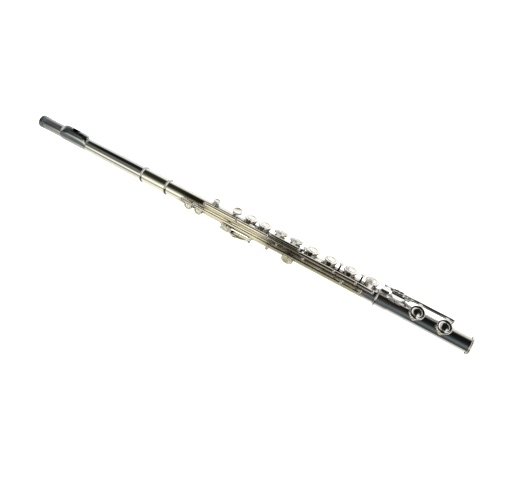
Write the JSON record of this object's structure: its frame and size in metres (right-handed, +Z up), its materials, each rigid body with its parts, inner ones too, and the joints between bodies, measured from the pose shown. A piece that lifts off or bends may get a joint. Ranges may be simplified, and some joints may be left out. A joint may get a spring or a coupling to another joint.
{
  "type": "concert flute",
  "caption": "Concert flute in three joints: a tapered head with a lip plate, a body with sprung padded key cups on long hinge rods, and a foot with low keys and rollers.",
  "frame": {"origin": "centre of the foot joint's open end, on the tube's centre line", "axes": "+X out of the foot's open end along the tube, -Y towards the player, +Z up through the centres of the main key cups"},
  "size_m": [0.667, 0.0375, 0.039],
  "materials": {
    "silver_body": "polished silver plate, lightly tarnished",
    "silver_head": "polished silver plate",
    "silver_lip": "polished silver plate, hand worn",
    "silver_trim": "polished silver plate",
    "silver_keys": "polished silver plate",
    "steel": "turned steel",
    "blued_spring": "blued",
    "pad_skin": "thin skin over felt",
    "stopper_brass": "turned",
    "cork": "cork"
  },
  "bodies": {
    "body": {"body_tube": "silver_body", "barrel": "silver_body", "barrel_rings": "silver_trim", "body_ribs": "silver_trim", "body_posts": "silver_trim", "main_steel": "steel", "g_steel": "steel", "g_sharp_steel": "steel", "thumb_steel": "steel", "trill_pivot_screws": "steel", "body_springs": "blued_spring"},
    "head": {"head_tube": "silver_head", "lip_plate": "silver_lip", "riser": "silver_lip"},
    "crown": {"crown": "silver_lip"},
    "stopper": {"stopper_screw": "stopper_brass", "stopper_cork": "cork"},
    "foot": {"foot_tube": "silver_body", "foot_socket": "silver_body", "foot_socket_ring": "silver_trim", "foot_end_ring": "silver_trim", "foot_ribs": "silver_trim", "foot_posts": "silver_trim", "foot_steel": "steel", "foot_springs": "blued_spring"},
    "c_key": {"c_key": "silver_keys", "c_sharp_pad": "pad_skin"},
    "b_flat_key": {"b_flat_key": "silver_keys", "b_flat_pad": "pad_skin"},
    "a_key": {"a_key": "silver_keys", "a_pad": "pad_skin"},
    "g_key": {"g_key": "silver_keys", "g_pads": "pad_skin"},
    "g_sharp_key": {"g_sharp_key": "silver_keys", "g_sharp_pad": "pad_skin"},
    "thumb_b_key": {"thumb_b_key": "silver_keys", "thumb_pad": "pad_skin"},
    "thumb_b_flat_lever": {"thumb_b_flat_lever": "silver_keys"},
    "f_sharp_key": {"f_sharp_key": "silver_keys", "f_sharp_pad": "pad_skin"},
    "f_key": {"f_key": "silver_keys", "f_pad": "pad_skin"},
    "e_key": {"e_key": "silver_keys", "e_pad": "pad_skin"},
    "d_key": {"d_key": "silver_keys", "d_pad": "pad_skin"},
    "d_trill_key": {"d_trill_key": "silver_keys", "d_trill_pad": "pad_skin"},
    "d_sharp_trill_key": {"d_sharp_trill_key": "silver_keys", "d_sharp_trill_pad": "pad_skin"},
    "low_c_sharp_key": {"low_c_sharp_key": "silver_keys", "low_c_sharp_pad": "pad_skin"},
    "low_c_key": {"low_c_key": "silver_keys", "low_c_pad": "pad_skin"},
    "low_c_sharp_roller": {"low_c_sharp_roller": "silver_keys"},
    "low_c_roller": {"low_c_roller": "silver_keys"},
    "e_flat_key": {"e_flat_key": "silver_keys", "e_flat_pad": "pad_skin"}
  },
  "joints": [
    {"name": "head_slide", "type": "slide", "parent": "body", "child": "head", "axis": [-1, 0, 0], "range_m": [0, 0.01]},
    {"name": "crown_turn", "type": "hinge", "parent": "head", "child": "crown", "pos_m": [-0.6615, 0, 0], "axis": [-1, 0, 0], "range_deg": [-720, 720]},
    {"name": "stopper_slide", "type": "slide", "parent": "head", "child": "stopper", "axis": [-1, 0, 0], "range_m": [-0.0015, 0.0015]},
    {"name": "foot_turn", "type": "hinge", "parent": "body", "child": "foot", "pos_m": [-0.117, 0, 0], "axis": [-1, 0, 0], "range_deg": [-12, 12]},
    {"name": "c_key_hinge", "type": "hinge", "parent": "body", "child": "c_key", "pos_m": [-0.35, -0.01513, 0.00899], "axis": [-1, 0, 0], "range_deg": [0, 8.5], "stiffness_Nm_per_rad": 0.02, "springref_deg": -17.19},
    {"name": "b_flat_key_hinge", "type": "hinge", "parent": "body", "child": "b_flat_key", "pos_m": [-0.312, -0.01513, 0.00899], "axis": [-1, 0, 0], "range_deg": [0, 8.5], "stiffness_Nm_per_rad": 0.02, "springref_deg": -17.19},
    {"name": "a_key_hinge", "type": "hinge", "parent": "body", "child": "a_key", "pos_m": [-0.293, -0.01513, 0.00899], "axis": [-1, 0, 0], "range_deg": [0, 8.5], "stiffness_Nm_per_rad": 0.02, "springref_deg": -17.19},
    {"name": "g_key_hinge", "type": "hinge", "parent": "body", "child": "g_key", "pos_m": [-0.257, -0.01251, 0.01238], "axis": [-1, 0, 0], "range_deg": [0, 8.5], "stiffness_Nm_per_rad": 0.02, "springref_deg": -17.19},
    {"name": "g_sharp_key_hinge", "type": "hinge", "parent": "body", "child": "g_sharp_key", "pos_m": [-0.245, -0.01482, 0.00453], "axis": [-1, 0, 0], "range_deg": [0, 6], "stiffness_Nm_per_rad": 0.02, "springref_deg": -17.19},
    {"name": "thumb_b_key_hinge", "type": "hinge", "parent": "body", "child": "thumb_b_key", "pos_m": [-0.332, -0.00312, -0.01467], "axis": [-1, 0, 0], "range_deg": [0, 8.5], "stiffness_Nm_per_rad": 0.06, "springref_deg": -17.19},
    {"name": "thumb_b_flat_lever_hinge", "type": "hinge", "parent": "body", "child": "thumb_b_flat_lever", "pos_m": [-0.311, -0.00312, -0.01467], "axis": [-1, 0, 0], "range_deg": [0, 8.5], "stiffness_Nm_per_rad": 0.005, "springref_deg": -17.19},
    {"name": "f_sharp_key_hinge", "type": "hinge", "parent": "body", "child": "f_sharp_key", "pos_m": [-0.218, -0.01513, 0.00899], "axis": [-1, 0, 0], "range_deg": [0, 8.5], "stiffness_Nm_per_rad": 0.02, "springref_deg": -17.19},
    {"name": "f_key_hinge", "type": "hinge", "parent": "body", "child": "f_key", "pos_m": [-0.197, -0.01513, 0.00899], "axis": [-1, 0, 0], "range_deg": [0, 8.5], "stiffness_Nm_per_rad": 0.02, "springref_deg": -17.19},
    {"name": "e_key_hinge", "type": "hinge", "parent": "body", "child": "e_key", "pos_m": [-0.169, -0.01513, 0.00899], "axis": [-1, 0, 0], "range_deg": [0, 8.5], "stiffness_Nm_per_rad": 0.02, "springref_deg": -17.19},
    {"name": "d_key_hinge", "type": "hinge", "parent": "body", "child": "d_key", "pos_m": [-0.142, -0.01513, 0.00899], "axis": [-1, 0, 0], "range_deg": [0, 8.5], "stiffness_Nm_per_rad": 0.02, "springref_deg": -17.19},
    {"name": "d_trill_key_hinge", "type": "hinge", "parent": "body", "child": "d_trill_key", "pos_m": [-0.28, -0.01768, 0.00093], "axis": [-1, 0, 0], "range_deg": [0, 5], "stiffness_Nm_per_rad": 0.02, "springref_deg": -17.19},
    {"name": "d_sharp_trill_key_hinge", "type": "hinge", "parent": "body", "child": "d_sharp_trill_key", "pos_m": [-0.275, -0.01768, 0.00093], "axis": [-1, 0, 0], "range_deg": [0, 5], "stiffness_Nm_per_rad": 0.02, "springref_deg": -17.19},
    {"name": "low_c_sharp_key_hinge", "type": "hinge", "parent": "foot", "child": "low_c_sharp_key", "pos_m": [-0.074, 0.00254, 0.01742], "axis": [1, 0, 0], "range_deg": [0, 8.5], "stiffness_Nm_per_rad": 0.02, "springref_deg": -17.19},
    {"name": "low_c_key_hinge", "type": "hinge", "parent": "foot", "child": "low_c_key", "pos_m": [-0.061, 0.00254, 0.01742], "axis": [1, 0, 0], "range_deg": [0, 8.5], "stiffness_Nm_per_rad": 0.02, "springref_deg": -17.19},
    {"name": "e_flat_key_hinge", "type": "hinge", "parent": "foot", "child": "e_flat_key", "pos_m": [-0.106, 0.00254, 0.01742], "axis": [1, 0, 0], "range_deg": [0, 7], "stiffness_Nm_per_rad": 0.02, "springref_deg": -17.19},
    {"name": "low_c_sharp_roller_spin", "type": "hinge", "parent": "low_c_sharp_key", "child": "low_c_sharp_roller", "pos_m": [-0.1022, -0.00255, 0.02037], "axis": [-1, 0, 0], "continuous": true},
    {"name": "low_c_roller_spin", "type": "hinge", "parent": "low_c_key", "child": "low_c_roller", "pos_m": [-0.1022, -0.00724, 0.01939], "axis": [-1, 0, 0], "continuous": true}
  ],
  "couplings": [
    {"joint": "stopper_slide", "follows": "crown_turn", "m_per_rad": 0.00011937},
    {"joint": "b_flat_key_hinge", "follows": "a_key_hinge", "ratio": 1},
    {"joint": "f_sharp_key_hinge", "follows": "f_key_hinge", "ratio": 1},
    {"joint": "low_c_sharp_key_hinge", "follows": "low_c_key_hinge", "ratio": 1}
  ]
}
